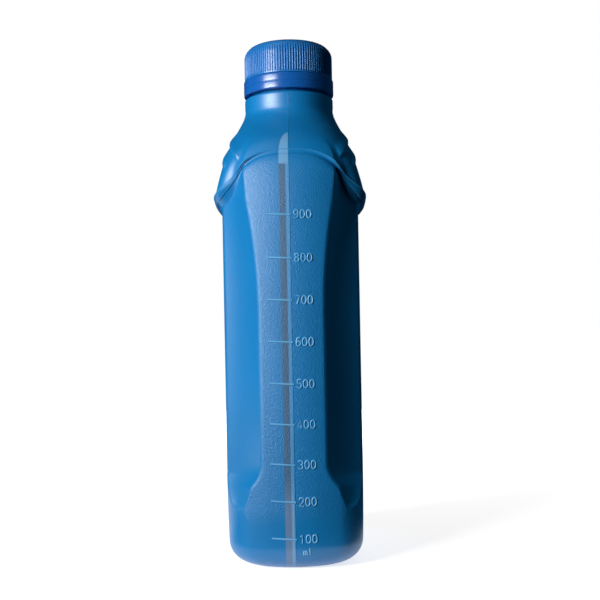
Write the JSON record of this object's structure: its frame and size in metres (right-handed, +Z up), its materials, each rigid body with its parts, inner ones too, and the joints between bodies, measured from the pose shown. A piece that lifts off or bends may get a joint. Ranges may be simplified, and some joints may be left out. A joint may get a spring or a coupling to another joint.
{
  "type": "transmission fluid bottle",
  "caption": "Tall blow-moulded fluid bottle with a scale strip, corner flutes, winged shoulders, a ribbed screw cap and a tamper band.",
  "frame": {"origin": "on the axis of the neck, at the level that the bottle stands on", "axes": "+Z up along the neck and cap; X across the narrow scale face, which looks along -Y; the label faces look along +X and -X"},
  "size_m": [0.0732, 0.1006, 0.2524],
  "materials": {
    "shell": "satin blown polyethylene",
    "fluid": "still oil",
    "closure": "moulded polypropylene",
    "liner": "foamed wad"
  },
  "bodies": {
    "body": {"bottle": "shell", "fluid": "fluid", "tamper_band": "closure"},
    "cap_seal": {"cap_liner": "liner"},
    "cap": {"cap": "closure"}
  },
  "joints": [
    {"name": "cap_rise", "type": "slide", "parent": "body", "child": "cap_seal", "axis": [0, 0, 1], "range_m": [0, 0.0253]},
    {"name": "cap_turn", "type": "hinge", "parent": "cap_seal", "child": "cap", "pos_m": [0, 0, 0.243], "axis": [0, 0, 1], "range_deg": [0, 2160]}
  ],
  "couplings": [
    {"joint": "cap_rise", "follows": "cap_turn", "m_per_rad": 0.00066845}
  ]
}
